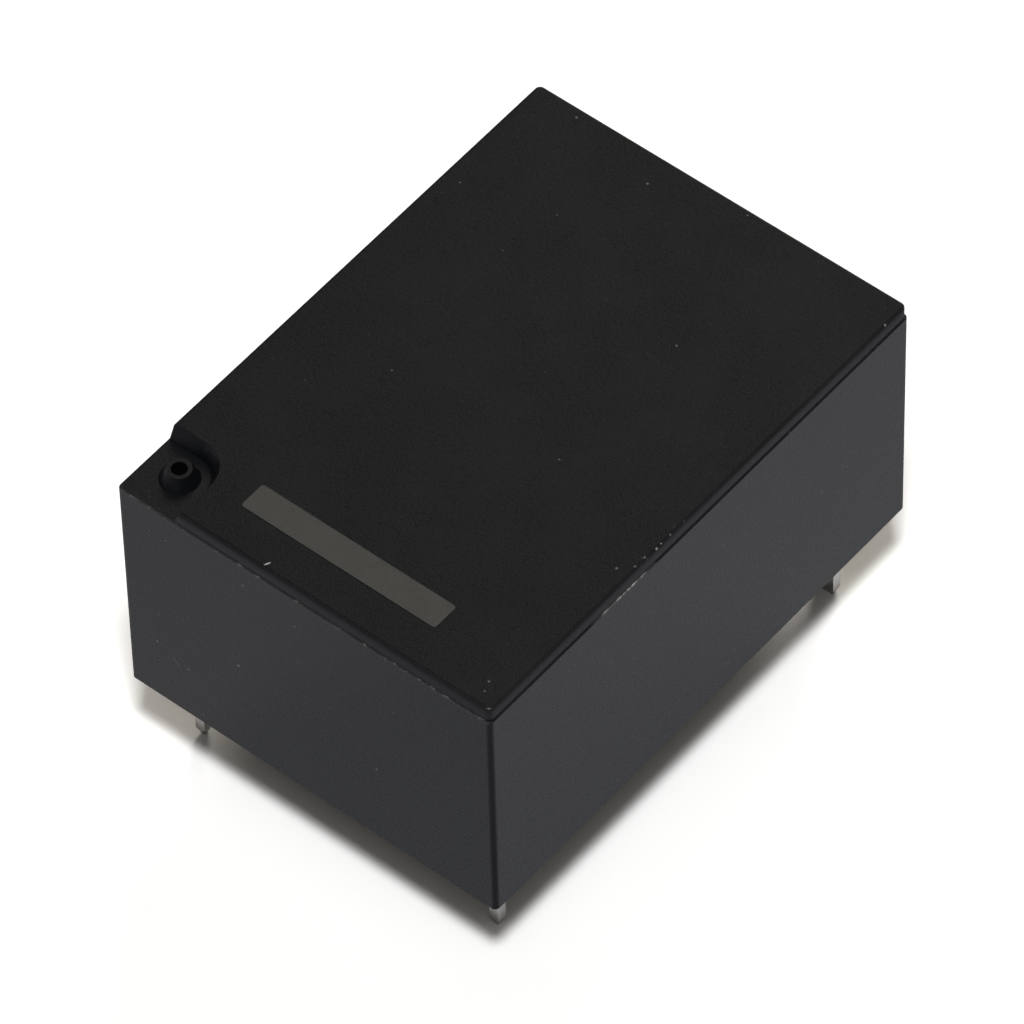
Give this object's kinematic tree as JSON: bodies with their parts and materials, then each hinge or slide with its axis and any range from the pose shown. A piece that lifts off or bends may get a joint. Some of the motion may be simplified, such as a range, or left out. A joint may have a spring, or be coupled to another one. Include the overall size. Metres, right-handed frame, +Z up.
{
  "type": "relay",
  "caption": "Flat sealed power relay for a printed circuit board: black moulded case with a vent nub, on thin solder pins, with coil, armature, card and contacts inside.",
  "frame": {"origin": "middle of the case's footprint, level with the tips of the solder pins", "axes": "+Z up out of the lid, X along the long side from the coil end (-X) to the contact end (+X), Y across"},
  "size_m": [0.022, 0.016, 0.0144],
  "materials": {
    "case_plastic": "fine satin mould texture",
    "stripe_ink": "thin matte grey print",
    "base_plastic": "satin",
    "resin": "cured glossy resin",
    "bobbin_plastic": "satin",
    "winding": "enamelled copper wire",
    "lead_wire": "enamelled copper wire",
    "tinned_pin": "tinned copper alloy",
    "iron": "dull nickel-plated iron",
    "spring_bronze": "rolled bronze strip",
    "card_plastic": "satin",
    "silver": "silver alloy"
  },
  "bodies": {
    "case": {"cover": "case_plastic", "end_stripe": "stripe_ink", "base": "base_plastic", "sealing_resin": "resin", "bobbin": "bobbin_plastic", "coil_winding": "winding", "lead_wire_front": "lead_wire", "lead_wire_back": "lead_wire", "coil_terminal_front": "tinned_pin", "coil_terminal_back": "tinned_pin", "core": "iron", "yoke": "iron", "hinge_spring": "spring_bronze", "moving_terminal": "tinned_pin", "fixed_terminal": "tinned_pin", "fixed_contact": "silver"},
    "armature": {"armature": "iron"},
    "card": {"card": "card_plastic"},
    "contact_arm": {"moving_spring": "spring_bronze", "moving_contact": "silver"}
  },
  "joints": [
    {"name": "armature_tilt", "type": "hinge", "parent": "case", "child": "armature", "pos_m": [-0.00705, 0, 0.00553], "axis": [0, 1, 0], "range_deg": [0, 6], "stiffness_Nm_per_rad": 0.02, "springref_deg": -5.73},
    {"name": "card_slide", "type": "slide", "parent": "case", "child": "card", "axis": [1, 0, 0], "range_m": [0, 0.0008]},
    {"name": "contact_flex", "type": "hinge", "parent": "case", "child": "contact_arm", "pos_m": [0.00714, 0, 0.0067], "axis": [0, 1, 0], "range_deg": [0, 7.2]}
  ],
  "couplings": [
    {"joint": "card_slide", "follows": "armature_tilt", "m_per_rad": 0.007525},
    {"joint": "contact_flex", "follows": "armature_tilt", "ratio": 1.185}
  ]
}
